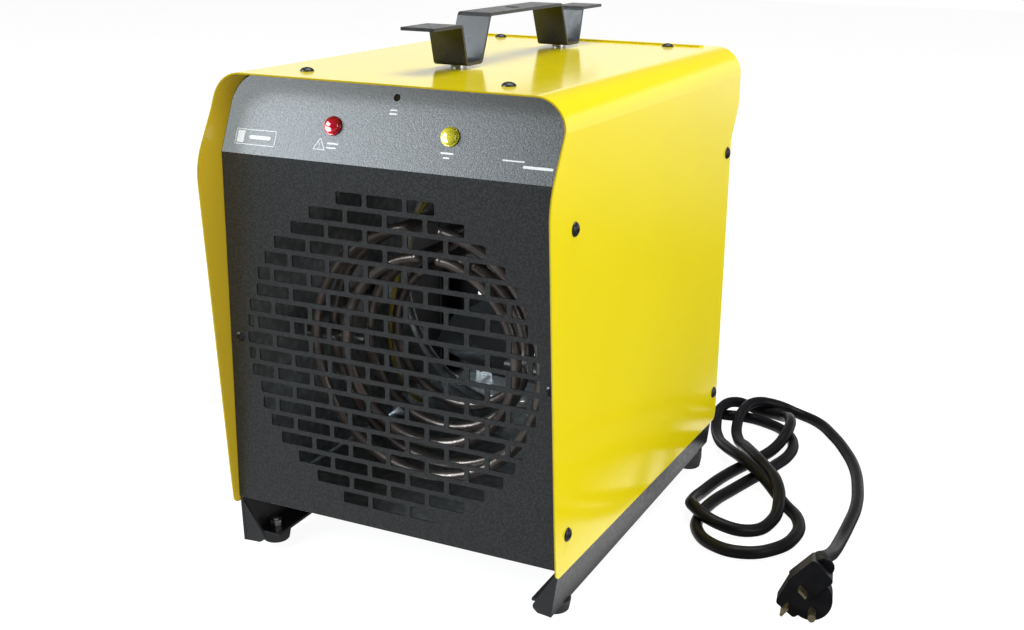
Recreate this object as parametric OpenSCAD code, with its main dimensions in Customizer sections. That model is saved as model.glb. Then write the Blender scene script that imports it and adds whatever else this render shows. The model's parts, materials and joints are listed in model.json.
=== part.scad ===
// Portable fan-forced electric space heater: a folded steel wrap over a perforated
// face, two sheathed coil elements, an axial fan and a mains cord with its plug.
// Origin: middle of the floor rectangle under the heater, +Z up, front towards -Y.

/* [Housing] */
// Width over the side walls
body_w = 254; // [248:1:262]
// Depth from the brow to the rear edge of the top
body_d = 358; // [354:1:362]
// Height of the side walls
shell_h = 307; // [303:1:311]
// Height of the housing's lower edge above the floor
ground_gap = 37; // [36:1:38]
// Thickness of the folded sheet
sheet_t = 1.2; // [1:0.1:1.4]
// Outer radius of the two upper corners
corner_r = 21; // [18:1:24]
// Reach of the brow in front of the face
brow_d = 24; // [20:1:26]
// Step in the rear edge, deeper above than below
rear_step = 15.5; // [12:0.5:17]

/* [Face] */
// Lower edge of the face above the floor
face_z = 41; // [41:1:42]
// Height of the bend between the face and its sloping strip
bend_z = 290.6; // [288:0.2:292]
// Slope of the strip from the vertical
strip_tilt = 23; // [21:1:24]
// Height of the grille's centre
grille_z = 163.8; // [162:0.2:166]
// Radius that the slots are clipped to
grille_r = 110.7; // [106:0.1:112]
// Slot repeat along a row
slot_pitch = 29.6; // [28:0.1:31]
// Distance between rows
row_pitch = 11.62; // [11:0.01:12]
// Metal left between neighbouring slots
slot_web = 3.4; // [3:0.1:4]

/* [Handle] */
// Width of the strap
strap_w = 25; // [20:1:30]
// Thickness of the strap
strap_t = 2.2; // [1.8:0.1:2.6]
// Middle of the handle along the body
handle_y = 27; // [20:1:34]
// Height of the grip above the top
grip_rise = 35; // [32:1:38]

/* [Heating and air] */
// Tube diameter of the elements
tube_d = 8; // [7:0.1:8.5]
// Mean radius of the largest element loop
coil_r = 89; // [87:1:91]
// Mean radius of the foremost loop of the inner element
coil_r_inner = 67; // [65:1:69]
// Radius of the air opening in the fan deck
deck_r = 95; // [94:1:97]
// Tip radius of the fan
fan_r = 88; // [84:1:89]
// Number of fan blades
blade_count = 4; // [3:1:5]

/* [Controls] */
// Travel of the reset button
reset_travel = 2.5; // [1:0.1:3]
// Diameter of the thermostat knob
knob_d = 38; // [34:1:42]

/* [Cord] */
// Diameter of the cord
cord_d = 9.6; // [9:0.1:10]

/* [Hidden] */

$fn = 48;
eps = 0.02;
inset = 0.4;                                 // side gap between the inner sheets and the wrap
half_w = body_w / 2;
rear_y = 180;                                // rear edge of the top
front_y = rear_y - body_d;                   // foremost point, the brow
face_y = front_y + brow_d;                   // outer surface of the face
low_rear_y = rear_y - rear_step;             // rear edge of the lower body
back_y = low_rear_y - 2.5;                   // outer surface of the rear panel
top_z = ground_gap + shell_h;                // upper surface of the top
inner_top = top_z - sheet_t;
inner_x = half_w - sheet_t - inset;          // outer side of the inner sheets
inner_r = corner_r - sheet_t;                // their upper corner radius
panel_top = inner_top - 1.3;                 // upper end of face and rear panel
flange_d = 20;                               // depth of the folded flanges
strip_len = (panel_top - bend_z) / cos(strip_tilt);
strip_top_y = face_y + (panel_top - bend_z) * tan(strip_tilt);
mid_z = grille_z;                            // fan axis
coil_z = grille_z - 11;                      // the coils hang a little below the fan axis
coil_y = face_y + 50;                        // front loop of the elements
// each loop: mean radius, place along Y, angle left open at the top
outer_loops = [[coil_r, coil_y, 18], [coil_r - 2, coil_y + 20, 40]];
inner_loops = [[coil_r_inner, coil_y + 6, 16], [coil_r_inner - 4, coil_y + 30, 44],
    [coil_r_inner - 13, coil_y + 54, 80]];
deck_y = face_y + 190;                       // front face of the fan deck
term_y = deck_y - 26;                        // plate that the elements end in
screw_d = 4;
hole_d = 4.5;
side_front_y = face_y + 10.5;                // front row of side screws
side_rear_y = back_y - 7;                    // rear row of side screws
side_low_z = 63;
side_high_z = 264;
top_x = 73.7;
top_front_y = face_y + 27;
lamp_x = 42.7;
lamp_u = 24.1;                               // lamp distance up the sloping strip
reset_u = 45.8;                              // reset hole distance up the strip
rail_t = 2;
rail_w = 24;
rail_z = 8.3;
foot_x = 113;
foot_front_y = -129.5;
foot_rear_y = 141;
pan_z = face_z - sheet_t;                    // underside of the base pan
motor_y = deck_y + 31;                       // front of the motor
motor_l = 60;
motor_r = 38;
stud_r = 32;
knob_x = 62;
knob_z = 300;
gland_x = 64;
gland_z = 54;
charcoal = [0.17, 0.18, 0.19];
yellow = [0.96, 0.86, 0.06];
steel = [0.72, 0.73, 0.75];
zinc = [0.6, 0.61, 0.62];
black = [0.06, 0.06, 0.07];
ceramic_white = [0.93, 0.92, 0.88];
copper = [0.75, 0.4, 0.2];
brass_tone = [0.8, 0.65, 0.3];

// ---- geometry helpers -------------------------------------------------------------------

function unit(v) = v / norm(v);

// points that round the corner q between p and s with radius r
function fillet(p, q, s, r, n = 5) =
    let (a = unit(p - q), b = unit(s - q), half = acos(a * b) / 2)
    let (c = q + unit(a + b) * (r / sin(half)))
    let (u = q + a * (r / tan(half)) - c, v = q + b * (r / tan(half)) - c)
    let (a0 = atan2(u[1], u[0]), turn = atan2(u[0] * v[1] - u[1] * v[0], u * v))
    [for (i = [0 : n]) c + r * [cos(a0 + turn * i / n), sin(a0 + turn * i / n)]];

// closed outline from [x, y, radius] corners
function outline(k) = let (n = len(k))
    [for (i = [0 : n - 1]) let (p = k[(i + n - 1) % n], q = k[i], s = k[(i + 1) % n])
        each q[2] == 0 ? [[q[0], q[1]]]
            : fillet([p[0], p[1]], [q[0], q[1]], [s[0], s[1]], q[2])];

// outline of a bent strap of thickness t along an open path of points
function side_step(path, i) = let (n = len(path),
    a = unit(i == 0 ? path[1] - path[0] : path[i] - path[i - 1]),
    b = unit(i == n - 1 ? path[i] - path[i - 1] : path[i + 1] - path[i]),
    m = unit(a + b)) [-m[1], m[0]] / (m * a);
function band(path, t) = concat(
    [for (i = [0 : len(path) - 1]) path[i] + side_step(path, i) * t / 2],
    [for (i = [len(path) - 1 : -1 : 0]) path[i] - side_step(path, i) * t / 2]);

// a 2D shape drawn in the YZ plane, made w wide along X from x = x0
module along_x(x0, w) {
    translate([x0, 0, 0]) rotate([90, 0, 90]) linear_extrude(w) children();
}

// a 2D shape drawn in the XZ plane, made d deep along Y from y = y0
module along_y(y0, d) {
    translate([0, y0 + d, 0]) rotate([90, 0, 0]) linear_extrude(d) children();
}

module rod_x(d, l) { rotate([0, 90, 0]) cylinder(d = d, h = l); }
module rod_y(d, l) { rotate([-90, 0, 0]) cylinder(d = d, h = l); }

module both_sides() {
    children();
    mirror([1, 0, 0]) children();
}

// frame of the sloping strip: Z runs up the slope, -Y points out of its front surface
module on_strip(x, u) {
    translate([0, face_y, bend_z]) rotate([-strip_tilt, 0, 0]) translate([x, 0, u]) children();
}

// arch of the wrap: straight sides and top with two round corners
module arch(half, top, r, foot) {
    translate([-half, foot]) square([2 * half, top - r - foot]);
    translate([-half + r, foot]) square([2 * (half - r), top - foot]);
    for (s = [-1, 1]) translate([s * (half - r), top - r]) circle(r, $fn = 96);
}

// one row of slots reaches to the chord of the grille circle at that row
module slot_row(row, chord, h) {
    shift = row % 2 == 0 ? 0 : 0.5;
    for (k = [-4 : 4]) {
        left = max((k - 0.5 + shift) * slot_pitch + slot_web / 2, -chord);
        right = min((k + 0.5 + shift) * slot_pitch - slot_web / 2, chord);
        if (right - left > 4)
            polygon(outline([[left, -h / 2, 1.2], [right, -h / 2, 1.2], [right, h / 2, 1.2],
                [left, h / 2, 1.2]]));
    }
}

module slot_field(radius) {
    rows = floor(radius / row_pitch);
    for (row = [-rows : rows]) translate([0, row * row_pitch])
        slot_row(abs(row) + 1, sqrt(pow(radius, 2) - pow(row * row_pitch, 2)), row_pitch - 3.2);
}

// ---- screws -----------------------------------------------------------------------------

// truss-head screw along +Z, the head's underside at z = 0, with a cross recess
module truss_screw(l, head_d = 9.4, head_h = 2.6) {
    difference() {
        rotate_extrude() polygon(concat([[0, -l], [screw_d / 2, -l], [screw_d / 2, 0],
            [head_d / 2, 0]], [for (a = [10 : 10 : 90]) [head_d / 2 * cos(a), head_h * sin(a)]]));
        for (a = [0, 90]) rotate(a) translate([-2.1, -0.4, head_h - 1.1]) cube([4.2, 0.8, 2]);
    }
}

module hex_nut(across, h, bore) {
    difference() {
        cylinder(d = across / cos(30), h = h, $fn = 6);
        translate([0, 0, -1]) cylinder(d = bore, h = h + 2);
    }
}

module at_top_screws() {
    for (x = [-top_x, top_x], y = [top_front_y, side_rear_y]) translate([x, y, 0]) children();
}

module at_side_screws() {
    for (y = [side_front_y, side_rear_y], z = [side_low_z, side_high_z])
        translate([0, y, z]) children();
}

module top_screws() {
    color(black) at_top_screws() translate([0, 0, top_z]) truss_screw(9);
}

module side_screws_right() {
    color(black) at_side_screws() translate([half_w, 0, 0]) rotate([0, 90, 0]) truss_screw(9);
}

module side_screws_left() {
    color(black) mirror([1, 0, 0]) at_side_screws() translate([half_w, 0, 0])
        rotate([0, 90, 0]) truss_screw(9);
}

module at_face_screws() { for (x = [-117.8, 117.8]) translate([x, 0, grille_z - 1]) children(); }

module face_screws() {
    color(black) at_face_screws() translate([0, face_y, 0]) rotate([90, 0, 0])
        truss_screw(9, 7, 2);
}

module at_rear_screws() { for (x = [-90, 90]) translate([x, 0, face_z + 6.5]) children(); }

// screws that hold the base pan on the rails, and the fan deck on the pan
module at_pan_screws() {
    for (x = [-109, 109], y = [-104, 106]) translate([x, y, 0]) children();
    at_deck_screws() children();
}

module at_deck_screws() {
    for (x = [-70, 70]) translate([x, deck_y + 8, 0]) children();
}

module pan_screws() {
    color(zinc) {
        for (x = [-109, 109], y = [-104, 106]) translate([x, y, face_z]) truss_screw(7);
        at_deck_screws() translate([0, 0, face_z + sheet_t]) truss_screw(7);
    }
}

module rear_screws() {
    color(black) at_rear_screws() translate([0, back_y, 0]) rotate([-90, 0, 0])
        truss_screw(9, 7, 2);
}

// ---- sheet metal ------------------------------------------------------------------------

module side_profile() {
    polygon(outline([[face_y - 5, ground_gap, 5], [face_y - 8, 68, 300],
        [face_y - 12.4, 122, 800], [front_y - 1.8, 286, 45],
        [face_y - 4.5, 325, 30], [face_y - 2, top_z + 20, 0], [rear_y, top_z + 20, 0],
        [rear_y, 299, 12], [low_rear_y, 274, 12], [low_rear_y, ground_gap, 7]]));
}

module housing() {
    color(yellow) {
        difference() {
            intersection() {
                along_y(front_y - 5, body_d + 10) difference() {
                    arch(half_w, top_z, corner_r, ground_gap);
                    arch(half_w - sheet_t, inner_top, inner_r, ground_gap - 5);
                }
                along_x(-half_w - 5, body_w + 10) side_profile();
            }
            at_top_screws() translate([0, 0, inner_top - 2]) cylinder(d = hole_d, h = 6);
            both_sides() at_side_screws() translate([half_w - 4, 0, 0]) rod_x(hole_d, 8);
            for (s = [-1, 1]) translate([0, handle_y + s * foot_mid, inner_top - 2])
                cylinder(d = 6.4, h = 6);
        }
        rear_bead();
    }
}

// low pressed bead along the rear of the top
module rear_bead() {
    l = 95;
    w = 7;
    translate([0, 169, top_z - 0.3]) {
        translate([-l, -w / 2, 0]) cube([2 * l, w, 1.5]);
        for (s = [-1, 1]) translate([s * l, 0, 0]) cylinder(d = w, h = 1.5);
    }
}

// bottom lip, face, sloping strip and top flange as one folded band, seen from the side
function face_fold() = let (h = sheet_t / 2) [[face_y + 14, face_z + h], [face_y + h, face_z + h],
    [face_y + h, bend_z - h * tan(strip_tilt / 2)],
    [strip_top_y + h * tan(45 - strip_tilt / 2), panel_top - h],
    [strip_top_y + flange_d, panel_top - h]];

module face_panel() {
    color(charcoal) difference() {
        union() {
            intersection() {
                along_x(-inner_x, 2 * inner_x) polygon(band(face_fold(), sheet_t));
                along_y(face_y - 5, 80) arch(inner_x, panel_top, inner_r, face_z);
            }
            both_sides() translate([inner_x - sheet_t, face_y + 0.6, face_z + 0.6])
                cube([sheet_t, flange_d, bend_z - face_z - 6]);
        }
        along_y(face_y - 3, 8) translate([0, grille_z]) slot_field(grille_r);
        for (s = [-1, 1]) on_strip(s * lamp_x, lamp_u) translate([0, -4, 0]) rod_y(10, 10);
        on_strip(0, reset_u) translate([0, -4, 0]) rod_y(4.8, 10);
        // service slit near the bottom of the grille
        translate([-11, face_y - 1, 55.4]) cube([22, 4, 2.6]);
        at_top_screws() translate([0, 0, panel_top - 5]) cylinder(d = hole_d, h = 8);
        both_sides() at_side_screws() translate([inner_x - 4, 0, 0]) rod_x(hole_d, 8);
        at_face_screws() translate([0, face_y - 2, 0]) rod_y(hole_d, 5);
    }
}

module rear_panel() {
    stud_angles = [45 : 90 : 315];
    color(charcoal) difference() {
        union() {
            along_y(back_y - sheet_t, sheet_t) difference() {
                arch(inner_x, panel_top, inner_r, face_z);
                difference() {
                    translate([0, grille_z]) slot_field(108);
                    for (a = stud_angles) translate([stud_r * cos(a), grille_z + stud_r * sin(a)])
                        circle(d = 12);
                }
                for (a = stud_angles) translate([stud_r * cos(a), grille_z + stud_r * sin(a)])
                    circle(d = 4.4);
                translate([knob_x, knob_z]) circle(d = 10.2);
                translate([gland_x, gland_z]) circle(d = 18.2);
            }
            translate([-96, back_y - flange_d, panel_top - sheet_t]) cube([192, flange_d, sheet_t]);
            both_sides() translate([inner_x - sheet_t, back_y - flange_d, face_z])
                cube([sheet_t, flange_d, 278]);
        }
        at_top_screws() translate([0, 0, panel_top - 5]) cylinder(d = hole_d, h = 8);
        both_sides() at_side_screws() translate([inner_x - 4, 0, 0]) rod_x(hole_d, 8);
        at_rear_screws() translate([0, back_y - 4, 0]) rod_y(hole_d, 6);
    }
}

module base_pan() {
    color(charcoal) difference() {
        union() {
            translate([-inner_x, face_y + 2, pan_z]) cube([2 * inner_x, back_y - face_y - 3.2, sheet_t]);
            // tabs behind the rear panel for its screws
            both_sides() translate([82, back_y - 2 * sheet_t, pan_z]) cube([16, sheet_t, 13]);
        }
        at_rear_screws() translate([0, back_y - 5, 0]) rod_y(hole_d, 6);
        at_pan_screws() translate([0, 0, pan_z - 1]) cylinder(d = hole_d, h = 4);
        for (x = [-foot_x, foot_x], y = [foot_front_y, foot_rear_y])
            translate([x, y, pan_z - 1]) cylinder(d = 12, h = 4);
        // air holes under the rear chamber
        for (x = [-60 : 15 : 60], y = [70 : 15 : 130]) translate([x, y, pan_z - 1])
            cylinder(d = 5, h = 4, $fn = 16);
    }
}

// inverted U of thin sheet round the elements, between the face and the fan deck
module heat_shield() {
    t = 0.8;
    half = 114;
    top = 284;
    front = face_y + sheet_t + 0.8;
    color(steel) {
        both_sides() translate([half - t, front, face_z + 1.4])
            cube([t, deck_y - front, top - face_z - 1.4]);
        translate([-half + 0.1, front, top - t]) cube([2 * half - 0.2, deck_y - front, t]);
    }
}

// the rail is deeper in front than at the rear, and its web leans in towards the floor
rail_front_y = face_y - 1.5;
rail_rear_y = low_rear_y - 6;
rail_rise = 8.6;
rail_lean = 4.4;                             // its front edge leans back
web_lean = 6.3;

function rail_under(y) = rail_z - 0.5
    + rail_rise * (y - rail_front_y) / (rail_rear_y - rail_front_y);
function flange_under(y) = rail_under(y) + 0.2;

module foot_rail(gusset_w) {
    web_x = inner_x + 0.2;
    top = pan_z;
    foot = rail_under(rail_front_y);
    flange = [rail_front_y + 14, rail_rear_y - 2];
    color(charcoal) difference() {
        union() {
            translate([web_x, 0, top - 0.25]) rotate([0, web_lean, 0]) along_x(-rail_t, rail_t)
                polygon([[rail_front_y, foot - top], [rail_rear_y, rail_under(rail_rear_y) - top],
                    [rail_rear_y, 0], [rail_front_y + (top - foot) * tan(rail_lean), 0]]);
            along_x(web_x - rail_w, rail_w - 3.8)
                polygon([[flange[0], flange_under(flange[0])],
                    [flange[1], flange_under(flange[1])],
                    [flange[1], flange_under(flange[1]) + rail_t],
                    [flange[0], flange_under(flange[0]) + rail_t]]);
            translate([web_x - rail_w, face_y + 8, top - rail_t])
                cube([rail_w - 0.5, low_rear_y - face_y - 14.5, rail_t]);
            // front gusset, wide at the foot and narrow above
            translate([web_x, rail_front_y + 0.2, foot]) rotate([-rail_lean, 0, 0])
                along_y(0, rail_t) polygon(outline([[-3.6, 0, 0], [-0.6, 28.5, 0],
                    [-3.2, 28.5, 0], [-gusset_w, 4.6, 3], [4.6 - gusset_w, 0.8, 3]]));
        }
        for (y = [foot_front_y, foot_rear_y]) translate([foot_x, y, rail_under(y) - 3])
            cylinder(d = 5.4, h = 8);
        for (y = [-104, 106]) translate([109, y, top - 4]) cylinder(d = hole_d, h = 6);
    }
}

module foot_rail_right() { foot_rail(18); }
module foot_rail_left() { mirror([1, 0, 0]) foot_rail(22); }

module at_feet(y) { for (x = [-foot_x, foot_x]) translate([x, y, 0]) children(); }

module rubber_feet() {
    color(black) for (y = [foot_front_y, foot_rear_y]) let (h = flange_under(y - 11))
        at_feet(y) rotate_extrude() polygon([[2.7, h], [11, h], [11, 7.5], [9.8, 0.8], [9, 0],
            [6, 0], [6, 4], [2.7, 4]]);
}

module foot_screws() {
    color(zinc) for (y = [foot_front_y, foot_rear_y]) at_feet(y) {
        translate([0, 0, 1.6]) cylinder(d = 9, h = 2.4);
        translate([0, 0, 4 - eps]) cylinder(d = 5, h = flange_under(y) + 3.5);
    }
}

module foot_nuts() {
    color(zinc) for (y = [foot_front_y, foot_rear_y]) at_feet(y)
        translate([0, 0, flange_under(y + 4.7) + rail_t]) hex_nut(8, 4, 5.2);
}

// ---- handle -----------------------------------------------------------------------------

foot_in = 71.7;                              // inner end of a handle foot from the middle
foot_out = 92.8;
foot_mid = (foot_in + foot_out) / 2;
spacer_h = 2.2;

function mirrored(path) = [for (i = [len(path) - 1 : -1 : 0]) [-path[i][0], path[i][1]]];

module handle() {
    grip_z = top_z + grip_rise - strap_t / 2;
    foot_z = top_z + spacer_h + strap_t / 2;
    lug_z = grip_z - 5;
    corners = [[-100, lug_z], [-foot_out, foot_z], [-foot_in, foot_z], [-59, grip_z]];
    half = concat([[-137, lug_z]], fillet([-137, lug_z], corners[0], corners[1], 3, 4),
        fillet(corners[0], corners[1], corners[2], 3, 4),
        fillet(corners[1], corners[2], corners[3], 3, 4),
        fillet(corners[2], corners[3], [0, grip_z], 3, 4));
    color(charcoal) difference() {
        translate([0, handle_y, 0]) along_x(-strap_w / 2, strap_w)
            polygon(band(concat(half, mirrored(half)), strap_t));
        translate([0, handle_y, grip_z - 5]) cylinder(d = 11, h = 10);
        for (s = [-1, 1]) translate([0, handle_y + s * foot_mid, foot_z - 5])
            cylinder(d = 6.4, h = 10);
    }
}

module at_handle_feet() {
    for (s = [-1, 1]) translate([0, handle_y + s * foot_mid, 0]) children();
}

module handle_spacers() {
    color(zinc) at_handle_feet() translate([0, 0, top_z]) difference() {
        cylinder(d = 11, h = spacer_h);
        translate([0, 0, -1]) cylinder(d = 6.4, h = spacer_h + 2);
    }
}

module handle_bolts() {
    seat = top_z + spacer_h + strap_t;
    color(black) at_handle_feet() {
        translate([0, 0, seat]) rotate_extrude()
            polygon(concat([[0, 0], [5.5, 0]], [for (a = [15 : 15 : 90]) [5.5 * cos(a), 3 * sin(a)]]));
        translate([0, 0, seat - 17]) cylinder(d = 6, h = 17 + eps);
    }
}

module handle_nuts() {
    color(zinc) at_handle_feet() translate([0, 0, inner_top - 5]) hex_nut(10, 5, 6.2);
}

// ---- lamps and limit switch ---------------------------------------------------------------

module lamp_lens(x) {
    on_strip(x, lamp_u) rotate([90, 0, 0]) rotate_extrude() polygon(concat([[0, 0], [6.3, 0],
        [6.3, 1.2]], [for (a = [0 : 15 : 90]) [5.7 * cos(a), 1.6 + 3.6 * sin(a)]]));
}

module safety_lamp_lens() { color([0.75, 0.05, 0.08]) lamp_lens(-lamp_x); }
module power_lamp_lens() { color([0.8, 0.75, 0.15]) lamp_lens(lamp_x); }

module lamp_barrels() {
    color([0.85, 0.85, 0.8]) for (s = [-1, 1]) on_strip(s * lamp_x, lamp_u) {
        rod_y(9.6, 22);
        for (k = [-2.5, 2.5]) translate([k, 22 - eps, 0]) rod_y(1.6, 7);
    }
}

module lamp_clips() {
    color(steel) for (s = [-1, 1]) on_strip(s * lamp_x, lamp_u)
        translate([0, sheet_t + 0.02, 0]) difference() {
            rod_y(14, 1.4);
            translate([0, -1, 0]) rod_y(9.8, 4);
        }
}

switch_gap = 9;                              // from the strip's outer surface to the switch

module limit_switch() {
    color([0.1, 0.1, 0.11]) on_strip(0, reset_u) translate([0, switch_gap, 0]) difference() {
        union() {
            rod_y(16, 9);
            translate([0, 9 - eps, 0]) rod_y(13, 3);
            for (s = [-1, 1]) translate([s * 5 - 0.4, 11.5, -3]) cube([0.8, 8, 6]);
        }
        translate([0, -1, 0]) rod_y(4.06, 8);
    }
}

// two-legged bridge that holds the switch behind the strip
module limit_bracket() {
    foot_y = sheet_t + 0.02;
    color(steel) on_strip(0, reset_u) difference() {
        union() {
            translate([-19, switch_gap - 1, -6]) cube([38, 1, 10]);
            for (s = [-1, 1]) {
                translate([s * 18.5 - 0.5, foot_y, -6]) cube([1, switch_gap - foot_y, 10]);
                translate([s * 21.5 - 3.5, foot_y, -6]) cube([7, 1, 10]);
            }
        }
        translate([0, switch_gap - 3, 0]) rod_y(5, 5);
    }
}

module reset_button() {
    color([0.03, 0.03, 0.03]) on_strip(0, reset_u) {
        translate([0, 0.6, 0]) rod_y(3.9, switch_gap + 3);
        translate([0, sheet_t + 1, 0]) rod_y(6.4, 1.2);
    }
}

// ---- heating elements ---------------------------------------------------------------------

// one loop of tube, open by the angle gap at the top, with a straight leg back from each end
module loop(r, y, gap) {
    translate([0, y, coil_z]) rotate([90, 0, 0]) rotate(90 + gap / 2)
        rotate_extrude(angle = 360 - gap, $fn = 96) translate([r, 0]) circle(d = tube_d, $fn = 24);
    for (s = [-1, 1]) translate([s * r * sin(gap / 2), y, coil_z + r * cos(gap / 2)]) {
        sphere(d = tube_d + 0.6, $fn = 24);
        rod_y(tube_d, term_y + 12 - y, $fn = 24);
    }
}

module loops(list) { color([0.4, 0.33, 0.3]) for (k = list) loop(k[0], k[1], k[2]); }
module element_outer() { loops(outer_loops); }
module element_inner() { loops(inner_loops); }

leg_points = [for (k = concat(outer_loops, inner_loops), s = [-1, 1])
    [s * k[0] * sin(k[2] / 2), coil_z + k[0] * cos(k[2] / 2)]];

// horizontal plates between the loops, left and right, and their arms from the deck
module element_supports() {
    color(steel) both_sides() {
        translate([56, coil_y + 10, coil_z - 1]) cube([22, 16, 2]);
        translate([76, coil_y + 4, coil_z - 1]) cube([26, 12, 2]);
        translate([100, coil_y + 4, coil_z - 6]) cube([2, deck_y - coil_y - 4, 12]);
        translate([100, deck_y - 2, coil_z - 6]) cube([12, 2, 12]);
    }
}

// plate in front of the deck that the straight legs of the elements end in
module element_plate() {
    color(steel) difference() {
        union() {
            translate([-44, term_y, 184]) cube([88, 1.5, 86]);
            translate([-44, term_y, 268.5]) cube([88, deck_y - term_y, 1.5]);
            translate([-44, deck_y - 1.5, 268.5]) cube([88, 1.5, 13]);
        }
        for (p = leg_points) translate([p[0], term_y - 1, p[1]]) rod_y(11.6, 4);
    }
}

module element_insulators() {
    color(ceramic_white) for (p = leg_points) translate([p[0], term_y - 7, p[1]]) difference() {
        union() {
            rod_y(13.4, 7);
            rod_y(11.4, 12);
        }
        translate([0, -1, 0]) rod_y(tube_d + 0.2, 18);
    }
}

module element_nuts() {
    color(zinc) for (p = leg_points) translate([p[0], term_y + 5, p[1]])
        rotate([-90, 0, 0]) hex_nut(12, 3, tube_d + 0.1);
}

// ---- fan and motor ------------------------------------------------------------------------

// partition with a rolled air opening; its side flanges touch the wrap
module fan_deck() {
    deck_top = inner_top - 1.5;
    color(steel) difference() {
        union() {
            along_y(deck_y, sheet_t) arch(inner_x, deck_top, inner_r, face_z);
            translate([0, deck_y - 9, mid_z]) difference() {
                rod_y(2 * deck_r + 8, 10);
                translate([0, -1, 0]) rod_y(2 * deck_r + 4, 12);
            }
            translate([-inner_x, deck_y, face_z]) cube([2 * inner_x, 14, sheet_t]);
            both_sides() translate([inner_x - sheet_t, deck_y, face_z])
                cube([sheet_t, 14, 270]);
        }
        at_deck_screws() translate([0, 0, face_z - 1]) cylinder(d = hole_d, h = 4);
        translate([0, deck_y - 12, mid_z]) rod_y(2 * deck_r, 30);
        for (x = [-90, 90], z = [300, 60]) translate([x, deck_y - 2, z]) rod_y(14, 6);
    }
}

// one cambered blade, narrow at the hub and wide near the tip, pitched about its own radius
module blade() {
    root = 17;
    intersection() {
        rotate([0, 90, 0]) translate([0, 0, root]) rotate(62)
            linear_extrude(fan_r - root) polygon(band([for (k = [-5 : 5]) [k * 6.6,
                4 * (1 - pow(k / 5, 2))]], 1.2));
        translate([0, 0, -20]) linear_extrude(40) polygon(outline([[root, -11, 0], [58, -32, 14],
            [fan_r + 6, -27, 14], [fan_r + 6, 27, 14], [58, 32, 14], [root, 11, 0]]));
        cylinder(r = fan_r, h = 60, center = true, $fn = 96);
    }
}

module fan_blade() {
    color([0.82, 0.83, 0.85]) translate([0, deck_y + 14, mid_z]) {
        difference() {
            rotate([-90, 0, 0]) for (i = [0 : blade_count - 1])
                rotate(34 + i * 360 / blade_count) blade();
            translate([0, -30, 0]) rod_y(30, 60);
        }
        translate([0, -10, 0]) difference() {
            rod_y(42, 20);
            translate([0, -1, 0]) rod_y(8.1, 22);
            translate([0, 2, 0]) difference() {
                rod_y(37, 30);
                translate([0, -1, 0]) rod_y(16, 32);
            }
        }
    }
}

shaft_front = deck_y - 2;

module fan_nut() {
    color(zinc) translate([0, deck_y + 1, mid_z]) rotate([-90, 0, 0]) hex_nut(12, 3, 8.1);
}

module motor_shaft() {
    color(steel) translate([0, shaft_front, mid_z]) rod_y(8, motor_y + motor_l + 3 - shaft_front);
}

module motor_rotor() {
    color([0.55, 0.55, 0.57]) translate([0, motor_y + 16, mid_z]) difference() {
        rod_y(38, 28);
        translate([0, -1, 0]) rod_y(8.1, 30);
    }
}

module motor_bearings() {
    color(brass_tone) for (y = [motor_y + 1, motor_y + motor_l - 9]) translate([0, y, mid_z])
        difference() {
            rod_y(15, 8);
            translate([0, -1, 0]) rod_y(8.1, 10);
        }
}

module motor_bell(y) {
    color([0.5, 0.51, 0.53]) translate([0, y, mid_z]) difference() {
        rod_y(2 * motor_r, 14);
        translate([0, 1.6, 0]) difference() {
            rod_y(2 * motor_r - 3.2, 20);
            rod_y(19, 8.4);
        }
        translate([0, -1, 0]) rod_y(15, 12);
        for (a = [0 : 60 : 300]) translate([27 * cos(a), -1, 27 * sin(a)]) rod_y(9, 4);
        for (a = [45 : 90 : 315]) translate([stud_r * cos(a), -1, stud_r * sin(a)]) rod_y(4.3, 4);
    }
}

module motor_front_bell() { motor_bell(motor_y); }

module motor_rear_bell() {
    translate([0, 2 * motor_y + motor_l, 0]) mirror([0, 1, 0]) motor_bell(motor_y);
}

module motor_stator() {
    color([0.32, 0.33, 0.35]) translate([0, motor_y + 15, mid_z]) difference() {
        rod_y(2 * motor_r - 4, 30);
        translate([0, -1, 0]) rod_y(39, 32);
        for (a = [45 : 90 : 315]) translate([stud_r * cos(a), -1, stud_r * sin(a)]) rod_y(4.3, 32);
        for (a = [0 : 90 : 270]) rotate([0, a, 0]) translate([20, -1, -5]) cube([9, 32, 10]);
    }
}

module motor_windings() {
    color(copper) translate([0, motor_y + 11, mid_z]) for (a = [0 : 90 : 270])
        rotate([0, a, 0]) translate([20.2, 0, -4.8]) cube([8.6, 38, 9.6]);
}

module motor_bolts() {
    color(zinc) for (a = [45 : 90 : 315]) translate([stud_r * cos(a), 0, mid_z + stud_r * sin(a)]) {
        translate([0, motor_y - 3, 0]) rod_y(7, 3);
        translate([0, motor_y - eps, 0]) rod_y(4, motor_l + 12);
        translate([0, back_y, 0]) rod_y(7.4, 2.4);
        translate([0, back_y - 10, 0]) rod_y(4, 10 + eps);
    }
}

// hexagon spacers between the motor and the rear panel
module motor_standoffs() {
    front = motor_y + motor_l;
    l = back_y - sheet_t - front;
    color(zinc) for (a = [45 : 90 : 315])
        translate([stud_r * cos(a), front, mid_z + stud_r * sin(a)]) rotate([-90, 0, 0])
            difference() {
                cylinder(d = 9.2, h = l, $fn = 6);
                translate([0, 0, -1]) cylinder(d = 4.2, h = l + 2);
            }
}

// ---- thermostat ---------------------------------------------------------------------------

module thermostat_body() {
    color([0.85, 0.83, 0.75]) translate([knob_x, 0, knob_z]) difference() {
        union() {
            translate([-20, back_y - 27, -15]) cube([40, 22, 30]);
            translate([0, back_y - 5 - eps, 0]) rod_y(10, 8);
            for (x = [-12, 0, 12]) translate([x - 3, back_y - 34, -4]) cube([6, 8, 0.8]);
        }
        translate([0, back_y - 20, 0]) rod_y(6.1, 30);
    }
}

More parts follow.
